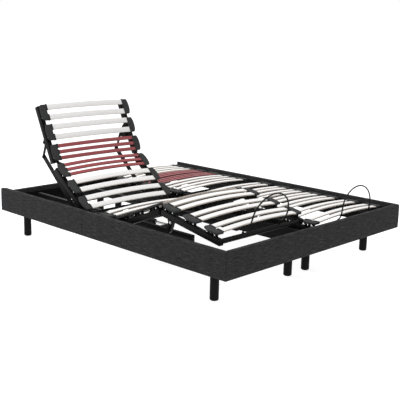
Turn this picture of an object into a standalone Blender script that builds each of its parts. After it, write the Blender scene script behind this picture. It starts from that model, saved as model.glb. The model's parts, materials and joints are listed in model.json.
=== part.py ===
"""Twin adjustable slatted bed base in one upholstered surround.

Metres, +Z up.  X is the width, Y the length with the head end at +Y.  The origin is on the floor
under the middle of the surround.  The left base (-X) stands raised, the right base lies flat.
Every moving section is modelled flat about its own hinge and is turned by its parent empty.
"""

from math import atan2, cos, hypot, pi, radians, sin

import bmesh
import bpy
from mathutils import Matrix, Vector

# ---------------------------------------------------------------- driving dimensions
WIDTH = 1.66                 # surround, outside
LENGTH = 2.06
PANEL = 0.030                # surround board with its upholstery
PANEL_LOW = 0.170            # underside of the surround
PANEL_TOP = 0.325
HEAD_PANEL_TOP = 0.300
GAP = 0.0003                 # between pieces that touch

LEG_RADIUS = 0.025
LEG_OFFSET = 0.315           # from each base's centre line
LEG_HEAD_Y = 0.894
LEG_FOOT_Y = -0.849
BAR_TOP = 0.186              # leg cross bars
BAR_HALF = 0.030
DIVIDER_HALF = 0.009
DIVIDER_TOP = 0.250

BASE_OFFSET = 0.400          # from the middle to each base's centre line
PIVOT_Z = 0.288
BACK_Y = 0.192               # back hinge
THIGH_Y = -0.082             # thigh hinge
BACK_LENGTH = 0.409          # back hinge to knuckle
THIGH_LENGTH = 0.408         # thigh hinge to knee
CALF_LENGTH = 0.466
HEAD_LENGTH = 0.3935

RAIL_IN, RAIL_OUT = 0.325, 0.355        # side rails, from the centre line
RAIL_LOW, RAIL_TOP = -0.043, -0.011     # from the hinge line
RAIL_END = 0.020                        # rail end to hinge
EAR_OUTER = (0.3185, 0.3265)            # hinge plate of the section that moves
EAR_INNER = (0.3105, 0.3175)            # hinge plate of the section that carries it
EAR_RADIUS = 0.012
EAR_REACH = (0.050, -0.027)
SHAFT_RADIUS = 0.008
RUNNING = 0.0005

HOLDER_LENGTH = 0.105
HOLDER_IN, HOLDER_SHOULDER, HOLDER_OUT = 0.315, 0.357, 0.367
HOLDER_LOW, HOLDER_TOP = 0.011, 0.023
SLAT_END = 0.331
SLAT_LOW, SLAT_THICK = 0.0130, 0.0085
SLAT_CROWN = 0.016
SLAT_STEPS = 4
WHITE_SLATS = (0.036, (-0.0335, 0.0335))
LEG_SLATS = (0.036, (-0.030, 0.030))     # thigh and calf pairs sit closer
RED_SLATS = (0.024, (-0.0395, 0.0, 0.0395))
POST_IN, POST_OUT = 0.331, 0.351
POST_HALF = 0.036
STRIP_TOP = -0.0075

HEAD_HOLDERS = (0.0745, 0.208, 0.341)   # holder centres, from each section's hinge
BACK_HOLDERS = (0.066, 0.204, 0.342)
SEAT_HOLDERS = (0.020,)
THIGH_HOLDERS = (-0.068, -0.205, -0.342)
CALF_HOLDERS = (-0.072, -0.233, -0.394)

CHASSIS_X = 0.190            # chassis rail centre
CHASSIS_HALF = 0.0125
CHASSIS_LOW, CHASSIS_TOP = 0.235, 0.275
CHASSIS_HEAD, CHASSIS_FOOT = 0.930, -0.560
CROSS_Y = (0.130, -0.030)
CROSS_LOW, CROSS_TOP = 0.247, 0.272

LEVER_PIVOT = (0.3086, 0.2086)          # y, z of the head lever tube
LEVER_LENGTH = 0.530
LEVER_X = (0.300, 0.306)
LEVER_RADIUS = 0.016
LEVER_TUBE = 0.012
BEARING_X = (0.180, 0.200)
BEARING_RADIUS = 0.022
GUSSET_PIN = (0.175, -0.090)            # strut pivot, from the knuckle
GUSSET_X = (0.3120, 0.3265)
GUSSET_TOP = RAIL_LOW + 0.006
GUSSET_BOTTOM = GUSSET_PIN[1] - 0.009
STUD_RADIUS = 0.005
STRUT_X = (0.3065, 0.3115)
STRUT_LENGTH = 0.105
STRUT_RADIUS = 0.009

ARM_LENGTH = 0.098           # motor arm on each hinge shaft
ARM_X = (0.0570, 0.0650)
MOTOR_X = 0.0740
MOTOR_Z = 0.193
BACK_MOTOR_Y, LEG_MOTOR_Y = -0.250, 0.270
MOTOR_EYE_HALF = 0.008
MOTOR_PIN = 0.006
MOTOR_TUBE = 0.018
ROD_RADIUS = 0.0080
MOTOR_LONG, MOTOR_SHORT = 0.300, 0.230
LUG_X = (0.0575, 0.0655)     # chassis lug that holds a motor's rear pin
LUG_RADIUS = 0.012

TUBE_RADIUS = 0.014          # calf end tube
TUBE_S = 0.452
STAND_S, STAND_DROP, STAND_RADIUS = 0.098, 0.068, 0.017
STAND_LEAN = 10.5            # degrees that square the stand to the floor
HOOP_WIRE = 0.004
HOOP_HALF = 0.150
HOOP_SPRING, HOOP_TOP = 0.080, 0.208
HOOP_SPRING_Y, HOOP_TOP_Y = -0.490, -0.496
HOOP_STEP = ((0.005, -0.449, 0.000), (0.004, -0.464, 0.014), (0.002, -0.478, 0.030),
             (0.000, -0.486, 0.052), (0.000, HOOP_SPRING_Y, HOOP_SPRING))

# Joint positions of the modelled pose, in degrees from flat, and the linkage's fixed ratios.
RAISED = {"left": (39.0, 22.6), "right": (0.0, 0.0)}
HEAD_RATIO = 0.66
CALF_RATIO = 1.465
LEVER_FLAT, LEVER_RATIO = -0.5, 1.1
STRUT_RATIO = -3.48

COLOURS = {
    "fabric": ((0.050, 0.050, 0.053), 0.90, 0.0),
    "steel": ((0.012, 0.012, 0.013), 0.42, 0.3),
    "white_wood": ((0.800, 0.790, 0.760), 0.45, 0.0),
    "red_wood": ((0.300, 0.030, 0.045), 0.45, 0.0),
    "black_plastic": ((0.020, 0.020, 0.022), 0.50, 0.0),
    "bright_steel": ((0.450, 0.450, 0.460), 0.30, 1.0),
    "black_board": ((0.010, 0.010, 0.010), 0.85, 0.0),
}


# ---------------------------------------------------------------- scene and materials
def clear_scene():
    for item in list(bpy.data.objects):
        bpy.data.objects.remove(item, do_unlink=True)


def parts_collection():
    collection = bpy.data.collections.new("adjustable_bed_base")
    bpy.context.scene.collection.children.link(collection)
    return collection


def make_material(name):
    colour, roughness, metallic = COLOURS[name]
    material = bpy.data.materials.new(name)
    material.use_nodes = True
    shader = material.node_tree.nodes["Principled BSDF"]
    shader.inputs["Base Color"].default_value = (*colour, 1.0)
    shader.inputs["Roughness"].default_value = roughness
    shader.inputs["Metallic"].default_value = metallic
    return material


# ---------------------------------------------------------------- basic solids
def link_mesh(name, mesh):
    item = bpy.data.objects.new(name, mesh)
    PARTS.objects.link(item)
    return item


def mesh_from(name, build):
    mesh = bpy.data.meshes.new(name)
    work = bmesh.new()
    build(work)
    bmesh.ops.recalc_face_normals(work, faces=work.faces)
    work.to_mesh(mesh)
    work.free()
    return link_mesh(name, mesh)


def box(low, high):
    """A block between two corners."""
    low, high = Vector(low), Vector(high)
    middle = Matrix.Translation((low + high) / 2)
    size = Matrix.Diagonal((*(high - low), 1.0))
    return mesh_from("box", lambda work: bmesh.ops.create_cube(work, size=1.0, matrix=middle @ size))


def span_box(x_pair, y_pair, z_pair):
    """A block from three (low, high) pairs given in any order."""
    pairs = [sorted(pair) for pair in (x_pair, y_pair, z_pair)]
    return box([pair[0] for pair in pairs], [pair[1] for pair in pairs])


def rod(start, end, radius, sides=12):
    """A round bar between two points."""
    start, end = Vector(start), Vector(end)
    along = end - start
    turn = along.to_track_quat("Z", "Y").to_matrix().to_4x4()
    place = Matrix.Translation((start + end) / 2) @ turn

    def build(work):
        bmesh.ops.create_cone(work, cap_ends=True, segments=sides, radius1=radius, radius2=radius,
                              depth=along.length, matrix=place)

    return mesh_from("rod", build)


AXES = {                      # outline's first axis, second axis and thickness axis
    "X": Matrix(((0, 0, 1, 0), (1, 0, 0, 0), (0, 1, 0, 0), (0, 0, 0, 1))),
    "Y": Matrix(((1, 0, 0, 0), (0, 0, -1, 0), (0, 1, 0, 0), (0, 0, 0, 1))),
    "Z": Matrix.Identity(4),
}


def plate(outline, thick, axis):
    """A flat outline with its thickness between two values along an axis.

    The outline is (y, z) for axis X, (x, z) for axis Y and (x, y) for axis Z.
    """
    curve = bpy.data.curves.new("plate", "CURVE")
    curve.dimensions = "2D"
    curve.fill_mode = "BOTH"
    low, high = sorted(thick)
    curve.extrude = (high - low) / 2
    spline = curve.splines.new("POLY")
    spline.points.add(len(outline) - 1)
    for point, (across, up) in zip(spline.points, outline):
        point.co = (across, up, 0.0, 1.0)
    spline.use_cyclic_u = True
    middle = (low + high) / 2
    shift = Matrix.Translation([middle if letter == axis else 0.0 for letter in "XYZ"])
    return curve_to_mesh(curve, shift @ AXES[axis])


def curve_to_mesh(curve, place):
    """The curve's solid as a mesh object with welded caps."""
    guide = bpy.data.objects.new("guide", curve)
    PARTS.objects.link(guide)
    bpy.context.view_layer.update()
    graph = bpy.context.evaluated_depsgraph_get()
    mesh = bpy.data.meshes.new_from_object(guide.evaluated_get(graph))
    mesh.materials.clear()
    mesh.transform(place)
    work = bmesh.new()
    work.from_mesh(mesh)
    bmesh.ops.remove_doubles(work, verts=work.verts, dist=0.00002)
    bmesh.ops.recalc_face_normals(work, faces=work.faces)
    work.to_mesh(mesh)
    work.free()
    bpy.data.objects.remove(guide, do_unlink=True)
    return link_mesh("shape", mesh)


def capsule(start, end, radius, steps=3):
    """Outline of a bar with round ends."""
    angle = atan2(end[1] - start[1], end[0] - start[0])
    points = []
    for centre, first in ((end, angle - pi / 2), (start, angle + pi / 2)):
        for step in range(steps + 1):
            turn = first + pi * step / steps
            points.append((centre[0] + radius * cos(turn), centre[1] + radius * sin(turn)))
    return points


def combine(item, others, operation):
    """Apply Booleans of one kind to the first object and remove the others."""
    for other in others:
        modifier = item.modifiers.new("combine", "BOOLEAN")
        modifier.operation = operation
        modifier.solver = "EXACT"
        modifier.object = other
        bpy.context.view_layer.update()
        graph = bpy.context.evaluated_depsgraph_get()
        mesh = bpy.data.meshes.new_from_object(item.evaluated_get(graph))
        item.modifiers.clear()
        item.data = mesh
        bpy.data.objects.remove(other, do_unlink=True)
    return item


def merge_flats(item):
    """Join the coplanar faces that Booleans leave."""
    work = bmesh.new()
    work.from_mesh(item.data)
    bmesh.ops.dissolve_limit(work, angle_limit=radians(0.2), verts=work.verts, edges=work.edges)
    work.to_mesh(item.data)
    work.free()
    return item


def fuse(pieces):
    return merge_flats(combine(pieces[0], pieces[1:], "UNION"))


def drill(item, cutters):
    return merge_flats(combine(item, cutters, "DIFFERENCE"))


def finish(item, name, material, parent=None):
    """Name a finished solid, give it its material and hang it on its hinge's empty."""
    item.name = name
    item.data.name = name
    item.data.materials.clear()
    item.data.materials.append(MATERIALS[material])
    item.data.shade_smooth()
    item.data.set_sharp_from_angle(angle=radians(35))
    item.parent = parent
    return item


def pivot(name, place, degrees=0.0, parent=None):
    """An empty on a hinge axis, turned about X."""
    empty = bpy.data.objects.new(name, None)
    empty.location = place
    empty.rotation_euler.x = radians(degrees)
    empty.parent = parent
    PARTS.objects.link(empty)
    return empty


# ---------------------------------------------------------------- surround and legs
def build_surround():
    half_x, half_y = WIDTH / 2, LENGTH / 2
    inner_x, inner_y = half_x - PANEL, half_y - PANEL
    for name, side in (("left_side_panel", -1), ("right_side_panel", 1)):
        board = span_box((side * inner_x, side * half_x), (GAP - inner_y, inner_y - GAP),
                         (PANEL_LOW, PANEL_TOP))
        finish(board, name, "fabric")
    foot = span_box((-half_x, half_x), (-half_y, -inner_y), (PANEL_LOW, PANEL_TOP))
    finish(foot, "foot_panel", "fabric")
    head = span_box((-half_x, half_x), (inner_y, half_y), (PANEL_LOW, HEAD_PANEL_TOP))
    finish(head, "head_panel", "fabric")
    divider = span_box((-DIVIDER_HALF, DIVIDER_HALF), (GAP - inner_y, inner_y - GAP),
                       (PANEL_LOW, DIVIDER_TOP))
    finish(divider, "centre_divider", "black_board")


def leg(name, x, y):
    foot = rod((x, y, 0.0), (x, y, PANEL_LOW), LEG_RADIUS, sides=20)
    finish(foot, name, "black_plastic")


def build_legs(side, centre):
    for row, y in (("head", LEG_HEAD_Y), ("foot", LEG_FOOT_Y)):
        leg(f"{side}_{row}_leg_outer", centre + sign_out(side) * LEG_OFFSET, y)
        leg(f"{side}_{row}_leg_inner", centre - sign_out(side) * LEG_OFFSET, y)


def sign_out(side):
    return -1 if side == "left" else 1


def reach(side):
    """X limits of a base inside the surround, from its own centre line."""
    outer = WIDTH / 2 - PANEL - BASE_OFFSET - GAP
    inner = BASE_OFFSET - DIVIDER_HALF - GAP
    return (-outer, inner) if side == "left" else (-inner, outer)


def leg_bar(side, y):
    return span_box(reach(side), (y - BAR_HALF, y + BAR_HALF), (PANEL_LOW + GAP, BAR_TOP))


# ---------------------------------------------------------------- section frames
def rail(side, start, end):
    return span_box((side * RAIL_IN, side * RAIL_OUT), (start, end), (RAIL_LOW, RAIL_TOP))


def outer_ear(side, way):
    """Hinge plate of the moving section; way is the section's direction along Y."""
    end = (way * EAR_REACH[0], EAR_REACH[1])
    return plate(capsule((0, 0), end, EAR_RADIUS), [side * x for x in EAR_OUTER], "X")


def inner_ear(side, way, hinge=(0.0, 0.0)):
    """Hinge plate of the carrying section with its spacer block and running hole."""
    end = (hinge[0] + way * EAR_REACH[0], hinge[1] + EAR_REACH[1])
    flat = plate(capsule(hinge, end, EAR_RADIUS), [side * x for x in EAR_INNER], "X")
    block = span_box((side * (EAR_INNER[0] + 0.001), side * (RAIL_IN + 0.0015)),
                     (hinge[0] + way * 0.036, hinge[0] + way * 0.060),
                     (hinge[1] - 0.037, hinge[1] - 0.017))
    hole = rod((side * 0.30, *hinge), (side * 0.32, *hinge), SHAFT_RADIUS + RUNNING)
    return drill(fuse([flat, block]), [hole])


def hinge_shaft():
    return rod((-0.322, 0, 0), (0.322, 0, 0), SHAFT_RADIUS)


def motor_arm(x_sign):
    """Arm on a hinge shaft that a motor rod pushes, hanging straight down."""
    outline = capsule((0, 0), (0, -ARM_LENGTH), EAR_RADIUS)
    return plate(outline, [x_sign * x for x in ARM_X], "X")


def build_back_frame(name, hinge):
    pieces = [hinge_shaft(), motor_arm(-1)]
    for side in (-1, 1):
        pieces.append(rail(side, RAIL_END, BACK_LENGTH - RAIL_END))
        pieces.append(outer_ear(side, 1))
        pieces.append(inner_ear(side, -1, (BACK_LENGTH, 0.0)))
    finish(fuse(pieces), name, "steel", hinge)


def build_head_rail(name, side, hinge):
    pin_end = EAR_INNER[0] - 0.002
    pin = rod((side * 0.322, 0, 0), (side * pin_end, 0, 0), SHAFT_RADIUS)
    middle = GUSSET_PIN[0]
    outline = [(middle - 0.045, GUSSET_TOP), (middle - 0.010, GUSSET_BOTTOM),
               (middle + 0.009, GUSSET_BOTTOM), (middle + 0.055, GUSSET_TOP)]
    gusset = plate(outline, [side * x for x in GUSSET_X], "X")
    stud = rod((side * (GUSSET_X[0] + 0.003), *GUSSET_PIN), (side * STRUT_X[0], *GUSSET_PIN),
               STUD_RADIUS, 12)
    pieces = [rail(side, RAIL_END, HEAD_LENGTH), outer_ear(side, 1), pin, gusset, stud]
    finish(fuse(pieces), name, "steel", hinge)


def build_thigh_frame(name, hinge):
    pieces = [hinge_shaft(), motor_arm(1)]
    for side in (-1, 1):
        pieces.append(rail(side, -RAIL_END, -THIGH_LENGTH + RAIL_END))
        pieces.append(outer_ear(side, -1))
        pieces.append(inner_ear(side, 1, (-THIGH_LENGTH, 0.0)))
    finish(fuse(pieces), name, "steel", hinge)


def calf_stand(side):
    """Bracket under the calf rail, square to the floor when the section is raised."""
    lean = radians(STAND_LEAN)
    top = (-STAND_S, RAIL_LOW + 0.004)
    end = (top[0] + STAND_DROP * sin(lean), top[1] - STAND_DROP * cos(lean))
    return plate(capsule(top, end, STAND_RADIUS), (side * 0.330, side * 0.350), "X")


def build_calf_frame(name, knee):
    tube_z = (RAIL_LOW + RAIL_TOP) / 2
    tube = rod((-0.335, -TUBE_S, tube_z), (0.335, -TUBE_S, tube_z), TUBE_RADIUS)
    pieces = [hinge_shaft(), tube]
    for side in (-1, 1):
        pieces.append(rail(side, -RAIL_END, -CALF_LENGTH))
        pieces.append(outer_ear(side, -1))
        pieces.append(calf_stand(side))
    finish(fuse(pieces), name, "steel", knee)


# ---------------------------------------------------------------- slats and holders
def slat(width, y):
    """A crowned slat across the base, as an arched outline given its width along Y."""
    outline = []
    for level, order in ((SLAT_LOW + SLAT_THICK, 1), (SLAT_LOW, -1)):
        for step in range(SLAT_STEPS + 1):
            t = order * (2 * step / SLAT_STEPS - 1)
            outline.append((t * SLAT_END, level + SLAT_CROWN * (1 - t * t)))
    return plate(outline, (y - width / 2, y + width / 2), "Y")


def holder(side, y):
    half = HOLDER_LENGTH / 2
    outline = [(side * HOLDER_IN, y - half), (side * HOLDER_SHOULDER, y - half),
               (side * HOLDER_OUT, y - half / 2), (side * HOLDER_OUT, y + half / 2),
               (side * HOLDER_SHOULDER, y + half), (side * HOLDER_IN, y + half)]
    return plate(outline, (HOLDER_LOW, HOLDER_TOP), "Z")


def post(side, y):
    return span_box((side * POST_IN, side * POST_OUT), (y - POST_HALF, y + POST_HALF),
                    (STRIP_TOP - 0.001, HOLDER_LOW + 0.001))


def build_slats(name, material, slats, holders, hinge):
    """Slats, their end holders, posts and foot strips of one stretch, as one solid."""
    width, offsets = slats
    pieces = []
    low, high = min(holders) - 0.044, max(holders) + 0.044
    for side in (-1, 1):
        pieces.append(span_box((side * (POST_IN + 0.003), side * (POST_OUT - 0.003)), (low, high),
                               (RAIL_TOP + GAP, STRIP_TOP)))
    for y in holders:
        for side in (-1, 1):
            pieces += [holder(side, y), post(side, y)]
        pieces += [slat(width, y + offset) for offset in offsets]
    finish(fuse(order_for_fusing(pieces)), name, material, hinge)


def order_for_fusing(pieces):
    """Strips first, then posts, holders and slats, so that each new piece meets the last ones."""
    def height(piece):
        return min(vertex.co.z for vertex in piece.data.vertices)
    return sorted(pieces, key=height)


# ---------------------------------------------------------------- chassis, linkage and motors
def motor_bracket(side_sign, y):
    """Stub from a chassis rail with a lug and a pin for a motor's rear eye."""
    stub = span_box((side_sign * CHASSIS_X, side_sign * LUG_X[0]), (y - LUG_RADIUS, y + LUG_RADIUS),
                    (CHASSIS_LOW + 0.005, CHASSIS_TOP - 0.013))
    lug = plate(capsule((y, MOTOR_Z), (y, 0.250), LUG_RADIUS), [side_sign * x for x in LUG_X], "X")
    pin = rod((side_sign * (LUG_X[1] - 0.002), y, MOTOR_Z),
              (side_sign * (MOTOR_X + MOTOR_EYE_HALF + 0.001), y, MOTOR_Z), MOTOR_PIN, 12)
    return [stub, lug, pin]


def build_chassis(side, base):
    pieces = []
    for sign in (-1, 1):
        x = sign * CHASSIS_X
        across = (x - CHASSIS_HALF, x + CHASSIS_HALF)
        pieces.append(span_box(across, (LEG_HEAD_Y - 0.02, LEG_HEAD_Y + 0.02),
                               (BAR_TOP + GAP, CHASSIS_LOW + 0.004)))
        pieces.append(span_box(across, (CHASSIS_FOOT, CHASSIS_HEAD), (CHASSIS_LOW, CHASSIS_TOP)))
    for y in CROSS_Y:
        pieces.append(span_box(reach(side), (y - 0.015, y + 0.015), (CROSS_LOW, CROSS_TOP)))
    for sign in (-1, 1):
        outline = capsule(LEVER_PIVOT, (LEVER_PIVOT[0], 0.245), BEARING_RADIUS)
        pieces.append(plate(outline, [sign * x for x in BEARING_X], "X"))
        seat = rail(sign, THIGH_Y + RAIL_END, BACK_Y - RAIL_END)
        seat.data.transform(Matrix.Translation((0, 0, PIVOT_Z)))
        pieces.append(seat)
        pieces.append(inner_ear(sign, -1, (BACK_Y, PIVOT_Z)))
        pieces.append(inner_ear(sign, 1, (THIGH_Y, PIVOT_Z)))
    pieces += motor_bracket(-1, BACK_MOTOR_Y) + motor_bracket(1, LEG_MOTOR_Y)
    frame = fuse(pieces)
    bore = rod((-0.25, *LEVER_PIVOT), (0.25, *LEVER_PIVOT), LEVER_TUBE + RUNNING)
    finish(drill(frame, [bore]), f"{side}_chassis", "steel", base)


def build_levers(side, base, back_degrees):
    turn = LEVER_FLAT + LEVER_RATIO * back_degrees
    hinge = pivot(f"{side}_lever_pivot", (0, *LEVER_PIVOT), turn, base)
    tube = rod((-0.303, 0, 0), (0.303, 0, 0), LEVER_TUBE)
    outline = capsule((0, 0), (LEVER_LENGTH, 0), LEVER_RADIUS)
    arms = [plate(outline, [sign * x for x in LEVER_X], "X") for sign in (-1, 1)]
    finish(fuse([tube] + arms), f"{side}_head_levers", "steel", hinge)


def build_strut(side, sign, label, hinge):
    outline = capsule((0, 0), (STRUT_LENGTH, 0), STRUT_RADIUS)
    strut = plate(outline, [sign * x for x in STRUT_X], "X")
    hole = rod((sign * 0.300, 0, 0), (sign * 0.320, 0, 0), STUD_RADIUS + RUNNING, 12)
    finish(drill(strut, [hole]), f"{side}_head_strut_{label}", "steel", hinge)


def arm_tip(hinge_y, way, degrees):
    """Where a motor arm's end stands with its section raised; way is the section's direction."""
    turn = radians(degrees)
    return hinge_y + way * ARM_LENGTH * sin(turn), PIVOT_Z - ARM_LENGTH * cos(turn)


def build_motor(side, label, base, x_sign, start_y, way, hinge_y, degrees, length):
    """Housing on the chassis pin and its sliding rod; way is +1 when it pushes to the head."""
    tip_y, tip_z = arm_tip(hinge_y, way, degrees)
    flat_y, flat_z = arm_tip(hinge_y, way, 0.0)
    run = hypot(tip_y - start_y, tip_z - MOTOR_Z)
    flat_run = hypot(flat_y - start_y, flat_z - MOTOR_Z)
    angle = atan2(tip_z - MOTOR_Z, way * (tip_y - start_y))
    hinge = pivot(f"{side}_{label}_motor_pivot", (x_sign * MOTOR_X, start_y, MOTOR_Z), 0.0, base)
    hinge.rotation_euler.x = way * angle
    eye = plate(capsule((0, 0), (way * 0.035, 0), 0.011), (-MOTOR_EYE_HALF, MOTOR_EYE_HALF), "X")
    block = span_box((-0.025, 0.025), (way * 0.028, way * 0.098), (-0.019, 0.019))
    tube = rod((0, way * 0.090, 0), (0, way * length, 0), MOTOR_TUBE, 16)
    pin_hole = rod((-0.01, 0, 0), (0.01, 0, 0), MOTOR_PIN + RUNNING, 12)
    rod_hole = rod((0, way * 0.105, 0), (0, way * (length + 0.01), 0), ROD_RADIUS + RUNNING)
    housing = drill(fuse([block, tube, eye]), [pin_hole, rod_hole])
    finish(housing, f"{side}_{label}_motor", "black_plastic", hinge)
    shift = run - flat_run
    shaft = rod((0, way * (shift + 0.120), 0), (0, way * (run - 0.014), 0), ROD_RADIUS)
    end = plate(capsule((way * (run - 0.030), 0), (way * run, 0), 0.011),
                (-MOTOR_EYE_HALF, MOTOR_EYE_HALF), "X")
    finish(fuse([shaft, end]), f"{side}_{label}_motor_rod", "bright_steel", hinge)


def build_hoop(name, knee):
    """Wire hoop that holds the mattress's foot end; its legs step out from the end tube."""
    tube_top = (RAIL_LOW + RAIL_TOP) / 2 + TUBE_RADIUS + GAP
    leg_points = [(HOOP_HALF + 0.005, HOOP_STEP[0][1] + 0.001, tube_top)]
    leg_points += [(HOOP_HALF + out, y, z) for out, y, z in HOOP_STEP]
    arch = []
    steps = 12
    for step in range(1, steps):
        turn = pi * step / steps
        rise = sin(turn)
        arch.append((HOOP_HALF * cos(turn), HOOP_SPRING_Y + (HOOP_TOP_Y - HOOP_SPRING_Y) * rise,
                     HOOP_SPRING + (HOOP_TOP - HOOP_SPRING) * rise))
    path = leg_points + arch + [(-x, y, z) for x, y, z in reversed(leg_points)]
    curve = bpy.data.curves.new(name, "CURVE")
    curve.dimensions = "3D"
    curve.bevel_depth = HOOP_WIRE
    curve.bevel_resolution = 1
    curve.use_fill_caps = True
    spline = curve.splines.new("POLY")
    spline.points.add(len(path) - 1)
    for point, place in zip(spline.points, path):
        point.co = (*place, 1.0)
    finish(curve_to_mesh(curve, Matrix.Identity(4)), name, "steel", knee)


# ---------------------------------------------------------------- one base
def build_base(side):
    back_degrees, thigh_degrees = RAISED[side]
    base = pivot(f"{side}_base", (sign_out(side) * BASE_OFFSET, 0, 0))
    build_chassis(side, base)
    for row, y in (("head", LEG_HEAD_Y), ("foot", LEG_FOOT_Y)):
        finish(leg_bar(side, y), f"{side}_{row}_bar", "steel", base)
    seat = pivot(f"{side}_seat", (0, 0, PIVOT_Z), 0.0, base)
    build_slats(f"{side}_seat_slats", "white_wood", WHITE_SLATS, SEAT_HOLDERS, seat)

    back = pivot(f"{side}_back_pivot", (0, BACK_Y, PIVOT_Z), back_degrees, base)
    build_back_frame(f"{side}_back_frame", back)
    build_slats(f"{side}_back_slats", "white_wood", WHITE_SLATS, BACK_HOLDERS[:2], back)
    build_slats(f"{side}_back_red_slats", "red_wood", RED_SLATS, BACK_HOLDERS[2:], back)

    head = pivot(f"{side}_head_pivot", (0, BACK_LENGTH, 0), HEAD_RATIO * back_degrees, back)
    build_head_rail(f"{side}_head_rail_a", -1, head)
    build_head_rail(f"{side}_head_rail_b", 1, head)
    build_slats(f"{side}_head_red_slats", "red_wood", RED_SLATS, HEAD_HOLDERS[:1], head)
    build_slats(f"{side}_head_slats", "white_wood", WHITE_SLATS, HEAD_HOLDERS[1:], head)

    build_levers(side, base, back_degrees)
    strut = pivot(f"{side}_strut_pivot", (0, *GUSSET_PIN), STRUT_RATIO * back_degrees, head)
    build_strut(side, -1, "a", strut)
    build_strut(side, 1, "b", strut)

    thigh = pivot(f"{side}_thigh_pivot", (0, THIGH_Y, PIVOT_Z), -thigh_degrees, base)
    build_thigh_frame(f"{side}_thigh_frame", thigh)
    build_slats(f"{side}_thigh_slats", "white_wood", LEG_SLATS, THIGH_HOLDERS, thigh)
    knee = pivot(f"{side}_knee_pivot", (0, -THIGH_LENGTH, 0), CALF_RATIO * thigh_degrees, thigh)
    build_calf_frame(f"{side}_calf_frame", knee)
    build_slats(f"{side}_calf_slats", "white_wood", LEG_SLATS, CALF_HOLDERS, knee)
    build_hoop(f"{side}_mattress_hoop", knee)

    build_motor(side, "back", base, -1, BACK_MOTOR_Y, 1, BACK_Y, back_degrees, MOTOR_LONG)
    build_motor(side, "leg", base, 1, LEG_MOTOR_Y, -1, THIGH_Y, thigh_degrees, MOTOR_SHORT)
    build_legs(side, sign_out(side) * BASE_OFFSET)


clear_scene()
PARTS = parts_collection()
MATERIALS = {name: make_material(name) for name in COLOURS}
build_surround()
build_base("left")
build_base("right")
bpy.context.view_layer.update()
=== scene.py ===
"""Looks of the twin adjustable bed base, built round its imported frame.

Metres, +Z up, the frame's own axes.  Every moving section is modelled flat in its own frame, with
the hinge line at the origin and +Y towards the head end, and is then put in place by the section's
matrix, which comes from the frame's joints.
"""

import json
from math import atan2, cos, pi, radians, sin, sqrt

import bmesh
import bpy
from mathutils import Matrix, Vector, noise


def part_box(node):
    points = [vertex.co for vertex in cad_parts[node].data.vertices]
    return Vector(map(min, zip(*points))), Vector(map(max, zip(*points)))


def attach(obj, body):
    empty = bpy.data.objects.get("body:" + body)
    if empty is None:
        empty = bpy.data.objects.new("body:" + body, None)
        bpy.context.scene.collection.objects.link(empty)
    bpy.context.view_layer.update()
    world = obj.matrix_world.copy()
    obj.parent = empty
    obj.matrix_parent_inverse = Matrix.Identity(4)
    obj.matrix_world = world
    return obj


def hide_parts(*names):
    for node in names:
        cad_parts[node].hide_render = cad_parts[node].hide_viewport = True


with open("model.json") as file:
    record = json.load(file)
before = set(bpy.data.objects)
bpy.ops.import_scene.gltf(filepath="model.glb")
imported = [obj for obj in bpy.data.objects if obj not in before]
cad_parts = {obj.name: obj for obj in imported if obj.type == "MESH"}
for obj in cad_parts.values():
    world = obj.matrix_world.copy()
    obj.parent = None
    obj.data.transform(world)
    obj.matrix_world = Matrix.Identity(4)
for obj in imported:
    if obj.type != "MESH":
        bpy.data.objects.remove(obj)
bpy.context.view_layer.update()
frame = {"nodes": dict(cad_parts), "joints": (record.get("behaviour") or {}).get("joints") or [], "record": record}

SIDES = ("left", "right")
JOINTS = {joint["name"]: joint for joint in frame["joints"]}
RATIOS = {row["joint"]: row["ratio"] for row in frame["record"]["behaviour"]["couplings"]}

# ---------------------------------------------------------------- sizes in a section's own frame
HOLDER_LENGTH = 0.105
HOLDER_IN, HOLDER_SHOULDER, HOLDER_OUT = 0.315, 0.355, 0.367
HOLDER_LOW, HOLDER_TOP = 0.011, 0.0235
SLAT_END = 0.331
SLAT_LOW, SLAT_THICK = 0.0130, 0.0085
SLAT_CROWN = 0.016
WHITE = (0.036, (-0.0335, 0.0335))           # slat width and places in a holder
LEG = (0.036, (-0.030, 0.030))                # thigh and calf slats sit closer
RED = (0.024, (-0.0395, 0.0, 0.0395))
SLAT_ROUNDING, SLAT_STATIONS = 0.0024, 22
SLEEVE_IN, SLEEVE_OUT, SLEEVE_AT = 0.3095, 0.3180, 0.312
SLEEVE_WALL = 0.0028
POST_IN, POST_OUT = 0.332, 0.350
POSTS = ((-0.029, 0.0075), (0.0, 0.005), (0.029, 0.0075))    # offset and half-width
STRIP_IN, STRIP_OUT, STRIP_PAST = 0.333, 0.349, 0.044
STRIP_LOW, STRIP_TOP = -0.0107, -0.0070
STRETCHES = (                                # name, section, slat kind, holder centres
    ("seat_slats", "seat", "white", (0.020,)),
    ("back_slats", "back", "white", (0.066, 0.204)),
    ("back_red_slats", "back", "red", (0.342,)),
    ("head_red_slats", "head", "red", (0.0745,)),
    ("head_slats", "head", "white", (0.208, 0.341)),
    ("thigh_slats", "thigh", "leg", (-0.068, -0.205, -0.342)),
    ("calf_slats", "calf", "leg", (-0.072, -0.233, -0.394)),
)
RAIL_IN, RAIL_OUT = 0.325, 0.355
RAIL_LOW, RAIL_TOP = -0.043, -0.011
RAIL_INSET = 0.020                           # rail end to hinge
HEAD_RAIL_END, CALF_RAIL_END = 0.3935, 0.466
EAR_IN, EAR_OUT = 0.3105, 0.3265             # faces of the hinge ears
TUBE_RADIUS = 0.0145
TUBE_S = 0.452                               # calf end tube, from the knee
STAND_S, STAND_LEAN = 0.098, 10.5            # calf stand, from the knee, and its lean in degrees
HOOP_HALF, HOOP_WIRE = 0.150, 0.0043
HOOP_SPRING, HOOP_TOP = 0.080, 0.208
HOOP_SPRING_Y, HOOP_TOP_Y = -0.490, -0.496
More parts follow.
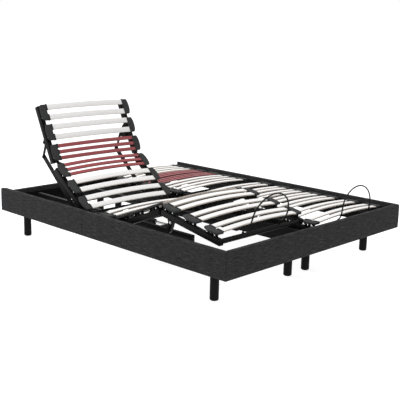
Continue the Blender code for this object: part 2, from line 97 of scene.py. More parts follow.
HOOP_STEP = ((0.005, -0.449, 0.000), (0.004, -0.464, 0.014), (0.002, -0.478, 0.030),
             (0.000, -0.486, 0.052))
SEAM_AT = 0.139                              # seam in each side panel, from its middle
SHADE_DEPTH, SHADE_DROP = 0.021, 0.024     # where the near-black painted shade takes over on a board
DIVIDER_SHADE_RISE = 0.010                          # black block 10 mm high on the centre divider's top: painted shade that hides the lit floor behind it
LEVER_FLAT = -0.5                            # head lever's angle with the base flat
LEVER_LENGTH, STRUT_LENGTH = 0.530, 0.105


# ---------------------------------------------------------------- materials
class Finish:
    """One procedural material, with shorthand for adding and linking its nodes."""

    def __init__(self, name, roughness, **inputs):
        self.material = bpy.data.materials.new(name)
        self.material.use_nodes = True
        self.tree = self.material.node_tree
        self.shader = self.tree.nodes["Principled BSDF"]
        self.feed(self.shader, {"Roughness": roughness, **inputs})
        self.local = self.node("Attribute", attribute_name="local").outputs["Vector"]

    def feed(self, node, inputs):
        for name, value in inputs.items():
            if isinstance(value, bpy.types.NodeSocket):
                self.tree.links.new(value, node.inputs[name])
            else:
                node.inputs[name].default_value = value

    def node(self, kind, inputs=None, **settings):
        node = self.tree.nodes.new("ShaderNode" + kind)
        for name, value in settings.items():
            setattr(node, name, value)
        self.feed(node, inputs or {})
        return node

    def stretched(self, scale):
        return self.node("Mapping", {"Vector": self.local, "Scale": scale}).outputs["Vector"]

    def noise(self, scale, detail=3.0, vector=None):
        node = self.node("TexNoise", {"Scale": scale, "Detail": detail, "Vector": vector or self.local})
        return node.outputs["Fac"]

    def math(self, operation, first, second=0.0):
        node = self.node("Math", operation=operation)
        for socket, value in zip(node.inputs, (first, second)):
            if isinstance(value, bpy.types.NodeSocket):
                self.tree.links.new(value, socket)
            else:
                socket.default_value = value
        return node.outputs[0]

    def ramp(self, value, *stops):
        node = self.node("ValToRGB", {"Fac": value})
        elements = node.color_ramp.elements
        while len(elements) < len(stops):
            elements.new(0.5)
        for element, (place, colour) in zip(elements, stops):
            element.position = place
            element.color = (*colour, 1.0)
        return node.outputs["Color"]

    def blend(self, share, first, second, kind="MIX"):
        node = self.node("Mix", data_type="RGBA", blend_type=kind)
        for socket, value in ((node.inputs[0], share), (node.inputs[6], first), (node.inputs[7], second)):
            if isinstance(value, bpy.types.NodeSocket):
                self.tree.links.new(value, socket)
            else:
                socket.default_value = value if isinstance(value, float) else (*value, 1.0)
        return node.outputs[2]

    def bump(self, height, distance, strength=1.0):
        node = self.node("Bump", {"Height": height, "Distance": distance, "Strength": strength})
        self.feed(self.shader, {"Normal": node.outputs["Normal"]})

    def colour(self, socket):
        self.feed(self.shader, {"Base Color": socket})

    def rough(self, value, low, high):
        node = self.node("MapRange", {"Value": value, "To Min": low, "To Max": high})
        self.feed(self.shader, {"Roughness": node.outputs["Result"]})


def grey(level):
    return (level, level, level)


def woven_fabric():
    """Charcoal melange weave: threads both ways, slubs, and a soft sheen."""
    look = Finish("charcoal_weave", 0.9, **{"Sheen Weight": 0.04, "Sheen Roughness": 0.4,
                                            "Specular IOR Level": 0.08})
    parts = look.node("SeparateXYZ", {"Vector": look.local}).outputs
    run = look.math("MULTIPLY", parts["X"], 2 * pi / 0.0026)
    rise = look.math("MULTIPLY", look.math("ADD", parts["Z"], parts["Y"]), 2 * pi / 0.0026)
    weave = look.math("MULTIPLY", look.math("SINE", run), look.math("SINE", rise))
    flat = look.noise(1.0, 4.0, look.stretched((18.0, 60.0, 320.0)))
    upright = look.noise(1.0, 4.0, look.stretched((360.0, 140.0, 40.0)))
    slubs = look.math("ADD", look.math("MULTIPLY", flat, 0.7), look.math("MULTIPLY", upright, 0.3))
    tone = look.ramp(slubs, (0.34, (0.006, 0.006, 0.0065)), (0.50, (0.019, 0.019, 0.020)),
                     (0.66, (0.052, 0.052, 0.054)))
    cloudy = look.blend(look.math("MULTIPLY", look.noise(6.0, 2.0), 0.4), tone, (0.018, 0.018, 0.019))
    look.colour(cloudy)
    look.bump(look.math("ADD", look.math("MULTIPLY", weave, 0.5), slubs), 0.0009, 0.6)
    return look.material


# Near-black sheet for the boards' inner faces below the turned cloth: painted shade for the dark inside of the
# surround.
def inner_shade_sheet():
    look = Finish("inner_painted_shade", 0.95, **{"Specular IOR Level": 0.1})
    fibres = look.noise(1.0, 5.0, look.stretched((300.0, 900.0, 900.0)))
    look.colour(look.ramp(fibres, (0.3, grey(0.0015)), (0.75, grey(0.005))))
    look.bump(fibres, 0.0004)
    return look.material


def black_board():
    look = Finish("black_board", 0.8, **{"Specular IOR Level": 0.15})
    grain = look.noise(1.0, 6.0, look.stretched((260.0, 14.0, 260.0)))
    look.colour(look.ramp(grain, (0.35, grey(0.003)), (0.8, grey(0.010))))
    look.bump(grain, 0.0003)
    return look.material


def powder_coat():
    """Black satin powder coat with fine orange peel."""
    look = Finish("black_steel", 0.42, **{"Specular IOR Level": 0.09})
    peel = look.noise(900.0, 2.0)
    patches = look.noise(14.0, 4.0)
    look.colour(look.ramp(patches, (0.3, grey(0.0025)), (0.75, grey(0.0070))))
    look.rough(patches, 0.36, 0.54)
    look.bump(peel, 0.00015, 0.5)
    return look.material


def laminated(name, face, bare, line, under, gloss):
    """Laminated beech: a painted top over bare plies, which show on the edges and the underside; the underside
    gets a darker colour, which is painted shade.
    """
    look = Finish(name, gloss, **{"Coat Weight": 0.08, "Coat Roughness": 0.3, "Specular IOR Level": 0.35})
    layer = look.node("Attribute", attribute_name="layer").outputs["Fac"]
    shade = look.node("NewGeometry").outputs["Random Per Island"]
    grain = look.noise(1.0, 5.0, look.stretched((7.0, 240.0, 240.0)))
    streak = look.noise(1.0, 2.0, look.stretched((2.0, 60.0, 60.0)))
    painted = look.blend(look.math("MULTIPLY", grain, 0.16), face, bare)
    painted = look.blend(look.math("MULTIPLY", shade, 0.12), painted, bare)
    wood = look.blend(look.math("MULTIPLY", streak, 0.3), bare, line)
    plies = look.math("SINE", look.math("MULTIPLY", layer, 2 * pi * 5))
    lines = look.math("GREATER_THAN", plies, 0.5)
    wood = look.blend(look.math("MULTIPLY", lines, 0.40), wood, line)
    # painted shade: the underside (layer below 0.03) is blended towards the darker under colour, as if in shadow
    wood = look.blend(look.math("MULTIPLY", look.math("LESS_THAN", layer, 0.03), 0.75), wood, under)
    look.colour(look.blend(look.math("GREATER_THAN", layer, 0.95), wood, painted))
    look.rough(grain, gloss - 0.06, gloss + 0.10)
    look.bump(look.math("ADD", grain, look.math("MULTIPLY", lines, -0.4)), 0.00022, 0.6)
    return look.material


def moulded_rubber():
    """Dark grey end holders, matt, with fine ribs across their length and painted shade in a narrow band on each
    rib.
    """
    look = Finish("grey_rubber", 0.70, **{"Specular IOR Level": 0.10})
    parts = look.node("SeparateXYZ", {"Vector": look.local}).outputs
    ribs = look.math("SINE", look.math("MULTIPLY", parts["Y"], 2 * pi / 0.0034))
    dust = look.noise(160.0, 5.0)
    tone = look.ramp(dust, (0.3, (0.020, 0.0205, 0.0205)), (0.7, (0.042, 0.043, 0.043)))
    # painted shade: a narrow band of each rib is painted darker
    rib_shade_bands = look.math("MULTIPLY", look.math("GREATER_THAN", ribs, 0.6), 0.35)
    look.colour(look.blend(rib_shade_bands, tone, grey(0.018)))
    look.rough(dust, 0.62, 0.82)
    look.bump(look.math("ADD", look.math("MULTIPLY", ribs, 0.4), dust), 0.0004, 0.7)
    return look.material


def black_plastic(name, roughness, scale):
    look = Finish(name, roughness, **{"Specular IOR Level": 0.07})
    grain = look.noise(scale, 4.0)
    look.colour(look.ramp(grain, (0.35, grey(0.003)), (0.7, grey(0.009))))
    look.rough(grain, roughness - 0.08, roughness + 0.1)
    look.bump(grain, 0.0002, 0.6)
    return look.material


def zinc():
    look = Finish("zinc", 0.3, **{"Metallic": 1.0})
    spangle = look.node("TexVoronoi", {"Scale": 700.0, "Vector": look.local}).outputs["Distance"]
    look.colour(look.ramp(spangle, (0.1, grey(0.42)), (0.8, (0.62, 0.62, 0.64))))
    look.rough(spangle, 0.22, 0.42)
    return look.material


def ground_rod():
    look = Finish("ground_rod", 0.25, **{"Metallic": 1.0})
    lines = look.noise(1.0, 4.0, look.stretched((900.0, 12.0, 900.0)))
    look.colour(look.ramp(lines, (0.3, grey(0.42)), (0.7, grey(0.60))))
    look.rough(lines, 0.2, 0.4)
    return look.material


FABRIC = woven_fabric()
INNER_SHADE = inner_shade_sheet()
BOARD = black_board()
STEEL = powder_coat()
# the fifth colour of each wood is painted shade for the slats' undersides
WHITE_WOOD = laminated("white_beech", (0.67, 0.67, 0.668), (0.50, 0.45, 0.40), (0.30, 0.25, 0.21),
                       (0.20, 0.15, 0.12), 0.45)
RED_WOOD = laminated("crimson_beech", (0.250, 0.040, 0.046), (0.11, 0.012, 0.015), (0.060, 0.008, 0.010),
                     (0.060, 0.008, 0.010), 0.42)
RUBBER = moulded_rubber()
MOTOR = black_plastic("motor_plastic", 0.5, 500.0)
LACQUER = black_plastic("leg_lacquer", 0.55, 260.0)
ZINC = zinc()
ROD = ground_rod()


# ---------------------------------------------------------------- building pieces
class Piece:
    """Closed solids gathered in one mesh, in a section's own frame."""

    def __init__(self, name):
        self.name = name
        self.work = bmesh.new()
        self.layer = self.work.verts.layers.float.new("layer")
        self.finishes = []

    def paint(self, faces, finish):
        if finish not in self.finishes:
            self.finishes.append(finish)
        for face in faces:
            face.material_index = self.finishes.index(finish)

    def loft(self, rings, finish, layers=None):
        """A skin over rings of points, closed at both ends."""
        rows = [[self.work.verts.new(point) for point in ring] for ring in rings]
        if layers:
            for row in rows:
                for vertex, layer in zip(row, layers):
                    vertex[self.layer] = layer
        faces = [self.work.faces.new(rows[0][::-1]), self.work.faces.new(rows[-1])]
        for near, far in zip(rows, rows[1:]):
            for i, vertex in enumerate(near):
                j = (i + 1) % len(near)
                faces.append(self.work.faces.new((vertex, near[j], far[j], far[i])))
        self.paint(faces, finish)
        return faces

    def round_edges(self, faces, width, sharper_than=40.0, steps=2):
        edges = {edge for face in faces for edge in face.edges}
        sharp = [edge for edge in edges if edge.calc_face_angle(0.0) > radians(sharper_than)]
        bmesh.ops.bevel(self.work, geom=sharp, offset=width, segments=steps, profile=0.5,
                        affect="EDGES", clamp_overlap=True)

    def block(self, x_pair, y_pair, z_pair, finish, edge=0.0015):
        pairs = [sorted(pair) for pair in (x_pair, y_pair, z_pair)]
        corners = [(x, y) for x, y in zip(pairs[0] + pairs[0][::-1], [pairs[1][0]] * 2 + [pairs[1][1]] * 2)]
        rings = [[(x, y, z) for x, y in corners] for z in pairs[2]]
        self.round_edges(self.loft(rings, finish), edge)

    def bar(self, start, end, radius, finish, sides=24, edge=0.0):
        start, end = Vector(start), Vector(end)
        turn = (end - start).to_track_quat("Z", "Y").to_matrix()
        circle = [turn @ Vector((radius * cos(a), radius * sin(a), 0.0))
                  for a in (2 * pi * i / sides for i in range(sides))]
        faces = self.loft([[start + spoke for spoke in circle], [end + spoke for spoke in circle]], finish)
        if edge:
            self.round_edges(faces, edge, 60.0)

    def plate(self, outline, x_pair, finish, edge=0.0008):
        """A (y, z) outline with its thickness along X."""
        low, high = sorted(x_pair)
        rings = [[(x, y, z) for y, z in outline] for x in (low, high)]
        self.round_edges(self.loft(rings, finish), edge, 50.0, 1)

    def bolt(self, place, out, radius, height, finish, sides=6):
        """A washer and a hexagon or round head that stand on a face that looks along +X or -X."""
        place = Vector(place)
        step = Vector((out, 0, 0))
        self.bar(place, place + step * 0.0015, radius * 1.45, finish, 20, 0.0004)
        self.bar(place + step * 0.0014, place + step * height, radius, finish, sides, 0.0006)

    def finish(self, body, slot, place=Matrix.Identity(4), replaced=(), sharp=35.0):
        mesh = bpy.data.meshes.new(self.name)
        bmesh.ops.recalc_face_normals(self.work, faces=self.work.faces)
        self.work.to_mesh(mesh)
        self.work.free()
        local = mesh.attributes.new("local", "FLOAT_VECTOR", "POINT")
        local.data.foreach_set("vector", [c for vertex in mesh.vertices for c in vertex.co])
        mesh.transform(place)
        mesh.shade_smooth()
        mesh.set_sharp_from_angle(angle=radians(sharp))
        for material in self.finishes:
            mesh.materials.append(material)
        item = bpy.data.objects.new(self.name, mesh)
        bpy.context.scene.collection.objects.link(item)
        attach(item, body)
        if replaced:
            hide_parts(*replaced)
        return item


def capsule(start, end, radius, steps=10):
    """Outline of a bar with round ends."""
    angle = atan2(end[1] - start[1], end[0] - start[0])
    points = []
    for centre, first in ((end, angle - pi / 2), (start, angle + pi / 2)):
        for step in range(steps + 1):
            turn = first + pi * step / steps
            points.append((centre[0] + radius * cos(turn), centre[1] + radius * sin(turn)))
    return points


def softened(node, name, finish, width=0.0012, place=Matrix.Identity(4)):
    """A CAD node with its edges rounded, begun as a piece so that fittings can be added."""
    piece = Piece(name)
    piece.work.from_mesh(frame["nodes"][node].data)
    piece.work.transform(place.inverted())
    bmesh.ops.remove_doubles(piece.work, verts=piece.work.verts, dist=0.00001)
    bmesh.ops.dissolve_limit(piece.work, angle_limit=radians(0.4), verts=piece.work.verts,
                             edges=piece.work.edges)
    piece.paint(piece.work.faces, finish)
    piece.round_edges(list(piece.work.faces), width)
    return piece


# ---------------------------------------------------------------- section frames
def hinge(name):
    return Vector(JOINTS[name]["pos_m"])


def turned_at(place, angle):
    return Matrix.Translation(place) @ Matrix.Rotation(angle, 4, "X")


def section_frames(side):
    """Each section's matrix at rest, found from the frame's hinges."""
    back, head = hinge(f"{side}_back_tilt"), hinge(f"{side}_head_tilt")
    thigh, knee = hinge(f"{side}_thigh_tilt"), hinge(f"{side}_knee_bend")
    lever, strut = hinge(f"{side}_lever_swing"), hinge(f"{side}_strut_swing")
    back_turn = atan2(head.z - back.z, head.y - back.y)
    thigh_turn = atan2(knee.z - thigh.z, thigh.y - knee.y)
    head_turn = back_turn * (1 + RATIOS[f"{side}_head_tilt"])
    lever_turn = radians(LEVER_FLAT) + back_turn * RATIOS[f"{side}_lever_swing"]
    strut_turn = head_turn + back_turn * RATIOS[f"{side}_strut_swing"]
    return {
        "seat": turned_at(Vector((back.x, 0, back.z)), 0.0),
        "back": turned_at(back, back_turn),
        "head": turned_at(head, head_turn),
        "levers": turned_at(lever, lever_turn),
        "struts": turned_at(strut, strut_turn),
        "thigh": turned_at(thigh, -thigh_turn),
        "calf": turned_at(knee, thigh_turn * (RATIOS[f"{side}_knee_bend"] - 1)),
    }


FRAMES = {side: section_frames(side) for side in SIDES}


def body_of(side, section):
    return "root" if section == "seat" else f"{side}_{section}"


# ---------------------------------------------------------------- slats, holders and posts
def rounded_section(half_width, thickness, radius, steps=3):
    """(y, z) points of a slat's cross-section above its underside, and each point's ply height."""
    points = []
    corners = ((half_width, thickness, 0.0), (-half_width, thickness, pi / 2),
               (-half_width, 0.0, pi), (half_width, 0.0, 3 * pi / 2))
    for y, z, first in corners:
        centre = (y - radius * (1 if y > 0 else -1), z - radius * (1 if z > 0 else -1))
        for step in range(steps + 1):
            turn = first + pi / 2 * step / steps
            points.append((centre[0] + radius * cos(turn), centre[1] + radius * sin(turn)))
    return points, [z / thickness for _, z in points]


def crown_at(x):
    return SLAT_LOW + SLAT_CROWN * (1 - (x / SLAT_END) ** 2)


def add_slat(piece, width, y, finish):
    section, layers = rounded_section(width / 2, SLAT_THICK, SLAT_ROUNDING)
    rings = []
    for i in range(SLAT_STATIONS + 1):
        x = SLAT_END * (2 * i / SLAT_STATIONS - 1)
        rings.append([(x, y + across, crown_at(x) + up) for across, up in section])
    piece.loft(rings, finish, layers)


def holder_ring(side, y, reach, low, top):
    """Cross-section of a holder: a thin inner lip, a gently domed top and a round nose."""
    nose = (top - low) / 2
    ring = [(HOLDER_IN, low + 0.001), (HOLDER_IN + 0.001, low), (reach - nose, low)]
    for step in range(1, 6):
        turn = -pi / 2 + pi * step / 6
        ring.append((reach - nose + nose * cos(turn), (low + top) / 2 + nose * sin(turn)))
    ring += [(reach - nose, top), (0.342, top + 0.0009), (0.328, top + 0.0006),
             (HOLDER_IN + 0.002, top - 0.0006), (HOLDER_IN, top - 0.002)]
    return [(side * x, y, z) for x, z in ring]


def add_holder(piece, side, y, kind):
    """End holder with an arched outer edge and a sleeve round each slat's end."""
    width, offsets = kind
    half = HOLDER_LENGTH / 2
    ends = (1.0, 0.985, 0.95)
    places = [-end for end in ends] + [-0.8 + 0.2 * i for i in range(9)] + [end for end in reversed(ends)]
    rings = []
    for t in places:
        fade = max(0.0, (abs(t) - 0.95) / 0.05)
        pull = 0.0035 * (1 - sqrt(max(0.0, 1 - fade * fade)))
        reach = HOLDER_OUT - (HOLDER_OUT - HOLDER_SHOULDER) * abs(t) ** 2.4 - 1.5 * pull
        rings.append(holder_ring(side, y + t * half, reach, HOLDER_LOW + 0.4 * pull, HOLDER_TOP - pull))
    piece.loft(rings, RUBBER)
    level = crown_at(SLEEVE_AT)
    for offset in offsets:
        near, far = y + offset - width / 2 - SLEEVE_WALL, y + offset + width / 2 + SLEEVE_WALL
        piece.block((side * SLEEVE_IN, side * SLEEVE_OUT), (near, far),
                    (level - 0.0030, level + SLAT_THICK + SLEEVE_WALL), RUBBER, 0.0014)


def add_posts(piece, side, y):
    """A holder's three feet, with a rivet head on each outer one."""
    for offset, half in POSTS:
        piece.block((side * POST_IN, side * POST_OUT), (y + offset - half, y + offset + half),
                    (STRIP_TOP - 0.001, HOLDER_LOW + 0.002), STEEL, 0.0018)
    for offset in (POSTS[0][0], POSTS[-1][0]):
        centre = Vector((side * POST_OUT, y + offset, 0.0015))
        start, end = centre - Vector((side * 0.001, 0, 0)), centre + Vector((side * 0.002, 0, 0))
        piece.bar(start, end, 0.0034, ZINC, 16, 0.0009)


KINDS = {
    "white": (WHITE, WHITE_WOOD, "slats"),
    "leg": (LEG, WHITE_WOOD, "slats"),
    "red": (RED, RED_WOOD, "red_slats"),
}


def build_stretch(side, name, section, kind_name, holders):
    """A stretch of slats, its end holders, and their posts on a foot strip."""
    place, body = FRAMES[side][section], body_of(side, section)
    kind, wood, slot = KINDS[kind_name]
    width, offsets = kind
    slats = Piece(f"{side}_{name}_wood")
    ends = Piece(f"{side}_{name}_holders")
    posts = Piece(f"{side}_{name}_posts")
    low, high = min(holders) - STRIP_PAST, max(holders) + STRIP_PAST
    for y in holders:
        for offset in offsets:
            add_slat(slats, width, y + offset, wood)
        for way in (-1, 1):
            add_holder(ends, way, y, kind)
            add_posts(posts, way, y)
    for way in (-1, 1):
        posts.block((way * STRIP_IN, way * STRIP_OUT), (low, high), (STRIP_LOW, STRIP_TOP), STEEL, 0.0008)
    slats.finish(body, slot, place, [f"{side}_{name}"])
    ends.finish(body, "holder", place)
    posts.finish(body, "steel", place)


# ---------------------------------------------------------------- steel frames
def tube_cap(piece, side, y, way):
    """Plastic plug in a rail's open end."""
    piece.block((side * (RAIL_IN + 0.001), side * (RAIL_OUT - 0.001)), (y, y + way * 0.003),
                (RAIL_LOW + 0.001, RAIL_TOP - 0.001), MOTOR, 0.0012)


def hinge_bolts(piece, y, z=0.0):
    """A bolt head on each side of both ears of a hinge."""
    for side in (-1, 1):
        piece.bolt((side * EAR_OUT, y, z), side, 0.0085, 0.0075, STEEL)
        piece.bolt((side * EAR_IN, y, z), -side, 0.0085, 0.0060, STEEL)


def build_back(side):
    place = FRAMES[side]["back"]
    piece = softened(f"{side}_back_frame", f"{side}_back_rails", STEEL, place=place)
    hinge_bolts(piece, 0.0)
    length = (place.inverted() @ hinge(f"{side}_head_tilt")).y
    hinge_bolts(piece, length)
    for way in (-1, 1):
        tube_cap(piece, way, RAIL_INSET, -1)
        tube_cap(piece, way, length - RAIL_INSET, 1)
    piece.finish(f"{side}_back", "steel", place, [f"{side}_back_frame"])


def build_head(side):
    place = FRAMES[side]["head"]
    for label, way in (("a", -1), ("b", 1)):
        piece = softened(f"{side}_head_rail_{label}", f"{side}_head_side_{label}", STEEL, place=place)
        tube_cap(piece, way, RAIL_INSET, -1)
        tube_cap(piece, way, HEAD_RAIL_END, 1)
        pin = place.inverted() @ hinge(f"{side}_strut_swing")
        piece.bolt((way * EAR_OUT, pin.y, pin.z), way, 0.0065, 0.006, STEEL)
        piece.finish(f"{side}_head", "steel", place, [f"{side}_head_rail_{label}"])


def build_levers(side):
    place = FRAMES[side]["levers"]
    piece = Piece(f"{side}_lever_frame")
    piece.bar((-0.303, 0, 0), (0.303, 0, 0), 0.012, STEEL, 32, 0.0008)
    for way in (-1, 1):
        piece.plate(capsule((0, 0), (LEVER_LENGTH, 0), 0.016), (way * 0.300, way * 0.306), STEEL, 0.0012)
        piece.bar((way * 0.292, 0, 0), (way * 0.3003, 0, 0), 0.0165, STEEL, 32, 0.001)
        piece.bolt((way * 0.300, LEVER_LENGTH, 0), -way, 0.0075, 0.006, STEEL)
    piece.finish(f"{side}_levers", "steel", place, [f"{side}_head_levers"])


def build_struts(side):
    place = FRAMES[side]["struts"]
    for label, way in (("a", -1), ("b", 1)):
        piece = Piece(f"{side}_strut_{label}")
        piece.plate(capsule((0, 0), (STRUT_LENGTH, 0), 0.009), (way * 0.3065, way * 0.3115), STEEL, 0.0008)
        piece.bolt((way * 0.3115, STRUT_LENGTH, 0), way, 0.0065, 0.0055, STEEL)
        piece.finish(f"{side}_struts", "steel", place, [f"{side}_head_strut_{label}"])


def build_thigh(side):
    place = FRAMES[side]["thigh"]
    piece = softened(f"{side}_thigh_frame", f"{side}_thigh_rails", STEEL, place=place)
    length = (place.inverted() @ hinge(f"{side}_knee_bend")).y
    hinge_bolts(piece, 0.0)
    hinge_bolts(piece, length)
    for way in (-1, 1):
        tube_cap(piece, way, -RAIL_INSET, 1)
        tube_cap(piece, way, length + RAIL_INSET, -1)
    piece.finish(f"{side}_thigh", "steel", place, [f"{side}_thigh_frame"])


def build_calf(side):
    place = FRAMES[side]["calf"]
    piece = softened(f"{side}_calf_frame", f"{side}_calf_rails", STEEL, place=place)
    hinge_bolts(piece, 0.0)
    middle = (RAIL_LOW + RAIL_TOP) / 2
    piece.bar((-0.336, -TUBE_S, middle), (0.336, -TUBE_S, middle), TUBE_RADIUS, STEEL, 40, 0.001)
    lean = radians(STAND_LEAN)
    for way in (-1, 1):
        tube_cap(piece, way, -RAIL_INSET, 1)
        tube_cap(piece, way, -CALF_RAIL_END, -1)
        for drop, radius, finish in ((0.018, 0.0052, ZINC), (0.050, 0.0075, STEEL)):
            y = -STAND_S + drop * sin(lean)
            z = RAIL_LOW + 0.004 - drop * cos(lean)
            piece.bolt((way * 0.350, y, z), way, radius, 0.0050, finish)
    piece.finish(f"{side}_calf", "steel", place, [f"{side}_calf_frame"])


def smooth_path(points, per_span=8):
    """Points of a smooth curve through the given ones."""
    spans = []
    padded = [points[0] * 2 - points[1]] + points + [points[-1] * 2 - points[-2]]
    for p0, p1, p2, p3 in zip(padded, padded[1:], padded[2:], padded[3:]):
        for step in range(per_span):
            t = step / per_span
            spans.append(0.5 * (2 * p1 + (p2 - p0) * t + (2 * p0 - 5 * p1 + 4 * p2 - p3) * t ** 2
                                + (3 * p1 - p0 - 3 * p2 + p3) * t ** 3))
    return spans + [points[-1]]


def build_hoop(side):
    """Wire hoop at the foot end: welded to the end tube, stepping out and arching over."""
    tube_top = (RAIL_LOW + RAIL_TOP) / 2 + TUBE_RADIUS
    weld = Vector((HOOP_HALF + 0.005, HOOP_STEP[0][1] + 0.001, tube_top))
    foot = [tuple(weld)] + [(HOOP_HALF + out, y, z) for out, y, z in HOOP_STEP]
    arch = []
    for i in range(13):
        turn = pi * i / 12
        arch.append((HOOP_HALF * cos(turn), HOOP_SPRING_Y + (HOOP_TOP_Y - HOOP_SPRING_Y) * sin(turn),
                     HOOP_SPRING + (HOOP_TOP - HOOP_SPRING) * sin(turn)))
    path = [Vector(p) for p in foot + arch + [(-x, y, z) for x, y, z in reversed(foot)]]
    line = smooth_path(path)
    sides = 12
    across = Vector((0, 1, 0))
    rings = []
    for i, point in enumerate(line):
        along = (line[min(i + 1, len(line) - 1)] - line[max(i - 1, 0)]).normalized()
        across = (across - along * across.dot(along)).normalized()
        other = along.cross(across)
        turns = [2 * pi * k / sides for k in range(sides)]
        rings.append([point + HOOP_WIRE * (across * cos(turn) + other * sin(turn)) for turn in turns])
    piece = Piece(f"{side}_hoop_wire")
    piece.loft(rings, STEEL)
    for way in (-1, 1):
        low = Vector((way * weld.x, weld.y, tube_top - 0.001))
        piece.bar(low, low + Vector((0, 0, 0.007)), 0.0065, STEEL, 20, 0.001)
    piece.finish(f"{side}_calf", "steel", FRAMES[side]["calf"], [f"{side}_mattress_hoop"])


def build_chassis(side):
    piece = softened(f"{side}_chassis", f"{side}_chassis_frame", STEEL, 0.001)
    piece.finish("root", "steel", replaced=[f"{side}_chassis"])
    for end in ("head", "foot"):
        bar = softened(f"{side}_{end}_bar", f"{side}_{end}_leg_bar", STEEL, 0.0015)
        bar.finish("root", "steel", replaced=[f"{side}_{end}_bar"])


def build_motors(side):
    for label in ("back", "leg"):
        way = 1 if label == "back" else -1
        body = f"{side}_{label}_motor_housing"
        centre = hinge(f"{side}_{label}_motor_swing")
        motor = softened(f"{side}_{label}_motor", f"{side}_{label}_drive", MOTOR, 0.002)
        can = centre + Vector((way * 0.02, way * 0.062, 0))
        motor.bar(can, can + Vector((way * 0.030, 0, 0)), 0.018, MOTOR, 32, 0.002)
        for y in (0.036, 0.090):
            for z in (-0.013, 0.013):
                motor.bolt(centre + Vector((-way * 0.025, way * y, z)), -way, 0.0028, 0.003, ZINC, 12)
        motor.finish(body, "motor", replaced=[f"{side}_{label}_motor"])
        rod = softened(f"{side}_{label}_motor_rod", f"{side}_{label}_drive_rod", ROD, 0.0008)
        rod.finish(f"{side}_{label}_motor_shaft", "bright_steel", replaced=[f"{side}_{label}_motor_rod"])


# ---------------------------------------------------------------- upholstered surround
def board_outline(low, top, thick):
    """(inset, height) round a board, up its outer face and down its inner face."""
    round_top, round_low, round_in = 0.009, 0.004, 0.006
    face = 8
    rise = top - round_top - low - round_low
    points = [(round_low * (1 - sin(a)), low + round_low * (1 - cos(a))) for a in (0.0, pi / 4, pi / 2)]
    points += [(0.0, low + round_low + rise * i / face) for i in range(1, face)]
    for a in (i * pi / 10 for i in range(6)):
        points.append((round_top * (1 - cos(a)), top - round_top * (1 - sin(a))))
    points.append((0.018, top + 0.0004))
    for a in (i * pi / 8 for i in range(5)):
        points.append((thick - round_in * (1 - sin(a)), top - round_in * (1 - cos(a))))
    points += [(thick, top - 0.03), (thick, (low + top) / 2), (thick, low + 0.003), (thick - 0.003, low)]
    return points


def board_stations(half, seam=None):
    """Places along a board, closer together at its mitred ends and at its seam."""
    places = {half - d for d in (0.0, 0.0012, 0.003, 0.006, 0.012)}
    places |= {-place for place in places}
    count = int(2 * (half - 0.03) / 0.03)
    places |= {(half - 0.03) * (2 * i / count - 1) for i in range(count + 1)}
    if seam is not None:
        places = {place for place in places if abs(place - seam) > 0.012}
        places |= {seam + d for d in (-0.008, -0.004, -0.0018, 0.0, 0.0018, 0.004, 0.008)}
    return sorted(places)


def tuck(distance, reach, depth):
    """How far the cloth is pulled in at a distance from a seam or corner."""
    if distance >= reach:
        return 0.0
    return depth * (1 - sqrt(1 - (1 - distance / reach) ** 2)) if distance > 0 else depth


def in_inner_shade(centre, top):
    """The cloth is turned over the top and down the inside, and a near-black sheet of painted shade covers the
    rest.
    """
    return centre.y > SHADE_DEPTH and centre.z < top - SHADE_DROP


def add_board(piece, low, top, thick, length, seed, seam=None):
    """A mitred board under cloth that swells a little and ripples, along X with its outer face at y 0."""
    half = length / 2
    outline = board_outline(low, top, thick)
    rings = []
    for along in board_stations(half, seam):
        pulled = tuck(half - abs(along), 0.005, 0.0035)
        if seam is not None:
            pulled += tuck(abs(along - seam), 0.008, 0.0034)
        ring = []
        for inset, height in outline:
            share = max(0.0, 1 - inset / 0.012)
            swell = 0.0012 * sin(pi * min(1.0, max(0.0, (height - low) / (top - low))))
            ripple = 0.0007 * noise.noise(Vector((along * 9 + seed, height * 16, seed)))
            sink = pulled * 0.8 if height > top - 0.012 else 0.0
            ring.append(((along / half) * (half - inset), inset + share * (pulled - swell - ripple),
                         height - sink))
        rings.append(ring)
    faces = piece.loft(rings, FABRIC)
    # painted shade: the lower inner faces get the near-black sheet
    piece.paint([face for face in faces[2:] if in_inner_shade(face.calc_center_median(), top)], INNER_SHADE)


def build_surround():
    lowest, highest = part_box("foot_panel")
    head_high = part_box("head_panel")[1]
    low, top, thick = lowest.z, highest.z, highest.y - lowest.y
    width, length = highest.x - lowest.x, head_high.y - lowest.y
    quarter = Matrix.Rotation(pi / 2, 4, "Z")
    boards = (
        ("foot", width, top, Matrix.Translation((0, lowest.y, 0)), None),
        ("head", width, head_high.z, Matrix.Translation((0, head_high.y, 0)) @ quarter @ quarter, None),
        ("right_side", length, top, Matrix.Translation((width / 2, 0, 0)) @ quarter, SEAM_AT),
        ("left_side", length, top, Matrix.Translation((-width / 2, 0, 0)) @ quarter.inverted(), -SEAM_AT),
    )
    for number, (name, long, high, place, seam) in enumerate(boards):
        piece = Piece(f"{name}_board")
        add_board(piece, low, high, thick, long, 3.7 * number, seam)
        piece.finish("root", "fabric", place, [f"{name}_panel"], 50.0)
    divider = softened("centre_divider", "divider_board", BOARD, 0.0015)
    lowest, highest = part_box("centre_divider")
    # painted shade: a black block on the divider's top hides the bright floor where the inside of the bed is in
    # shadow
    divider.block((lowest.x, highest.x), (lowest.y + 0.002, highest.y - 0.002),
                  (highest.z - 0.001, highest.z + DIVIDER_SHADE_RISE), MOTOR, 0.002)
    divider.finish("root", "divider", replaced=["centre_divider"])


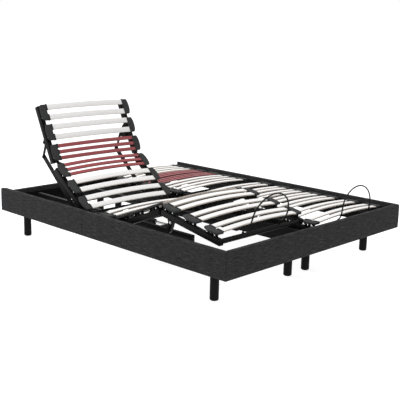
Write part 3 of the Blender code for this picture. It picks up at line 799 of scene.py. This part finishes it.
def build_leg(node):
    """Turned leg with a top plate, a shadow groove, a rounded foot and a glide, all in the leg lacquer."""
    low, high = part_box(node)
    centre = (low + high) / 2
    radius, top = (high.x - low.x) / 2, high.z
    profile = [(0.018, 0.0), (0.0195, 0.0008), (0.0195, 0.0028), (0.0215, 0.003), (0.0238, 0.0045),
               (0.0248, 0.0075), (radius, 0.012), (radius, top - 0.016), (radius - 0.0012, top - 0.015),
               (radius - 0.0012, top - 0.0125), (radius, top - 0.0115), (radius, top - 0.001),
               (radius - 0.001, top)]
    piece = Piece(f"{node}_turned")
    sides = 40
    rings = [[(centre.x + r * cos(2 * pi * i / sides), centre.y + r * sin(2 * pi * i / sides), z)
              for i in range(sides)] for r, z in profile]
    piece.loft(rings, LACQUER)
    piece.finish("root", "leg", replaced=[node])


# ---------------------------------------------------------------- stage
def soft_light(name, place, aim, size, watts):
    lamp = bpy.data.lights.new(name, "AREA")
    lamp.energy = watts
    lamp.shape = "DISK"
    lamp.size = size
    item = bpy.data.objects.new(name, lamp)
    item.location = place
    item.rotation_mode = "QUATERNION"
    item.rotation_quaternion = (Vector(aim) - Vector(place)).to_track_quat("-Z", "Y")
    bpy.context.scene.collection.objects.link(item)


def build_stage():
    piece = bmesh.new()
    bmesh.ops.create_grid(piece, x_segments=1, y_segments=1, size=60.0)
    mesh = bpy.data.meshes.new("floor")
    piece.to_mesh(mesh)
    piece.free()
    paint = bpy.data.materials.new("pale_floor")
    paint.use_nodes = True
    shader = paint.node_tree.nodes["Principled BSDF"]
    shader.inputs["Base Color"].default_value = (0.40, 0.40, 0.40, 1.0)
    shader.inputs["Roughness"].default_value = 0.9
    shader.inputs["Emission Color"].default_value = (1.0, 1.0, 1.0, 1.0)
    shader.inputs["Emission Strength"].default_value = 0.80
    mesh.materials.append(paint)
    floor = bpy.data.objects.new("floor", mesh)
    floor.location.z = -0.0005
    bpy.context.scene.collection.objects.link(floor)
    world = bpy.data.worlds.new("studio")
    world.use_nodes = True
    world.node_tree.nodes["Background"].inputs["Color"].default_value = (1.0, 1.0, 1.0, 1.0)
    world.node_tree.nodes["Background"].inputs["Strength"].default_value = 1.0
    bpy.context.scene.world = world
    bpy.context.scene.view_settings.view_transform = "Standard"
    soft_light("key", (-1.2, 2.0, 4.4), (0, 0, 0.3), 3.0, 190.0)
    soft_light("fill", (3.4, -3.0, 3.0), (0, 0, 0.3), 3.0, 3.0)


def build_camera():
    azimuth, elevation, roll = radians(-46.042), radians(12.67), radians(1.287)
    back = Vector((sin(azimuth) * cos(elevation), -cos(azimuth) * cos(elevation), sin(elevation)))
    level = (-back).cross(Vector((0, 0, 1))).normalized()
    upright = level.cross(-back)
    right = level * cos(roll) + upright * sin(roll)
    up = upright * cos(roll) - level * sin(roll)
    lens = bpy.data.cameras.new("camera")
    lens.lens = 71.26
    lens.sensor_width = 36.0
    lens.clip_end = 200.0
    camera = bpy.data.objects.new("camera", lens)
    turn = Matrix((right, up, back)).transposed().to_4x4()
    camera.matrix_world = Matrix.Translation((-3.656, -3.564, 1.444)) @ turn
    bpy.context.scene.collection.objects.link(camera)
    bpy.context.scene.camera = camera


# ---------------------------------------------------------------- the bed
build_camera()
build_stage()
build_surround()
for node in sorted(frame["nodes"]):
    if "_leg_" in node and "motor" not in node:
        build_leg(node)
for side in SIDES:
    build_chassis(side)
    build_motors(side)
    build_back(side)
    build_head(side)
    build_levers(side)
    build_struts(side)
    build_thigh(side)
    build_calf(side)
    build_hoop(side)
    for stretch in STRETCHES:
        build_stretch(side, *stretch)
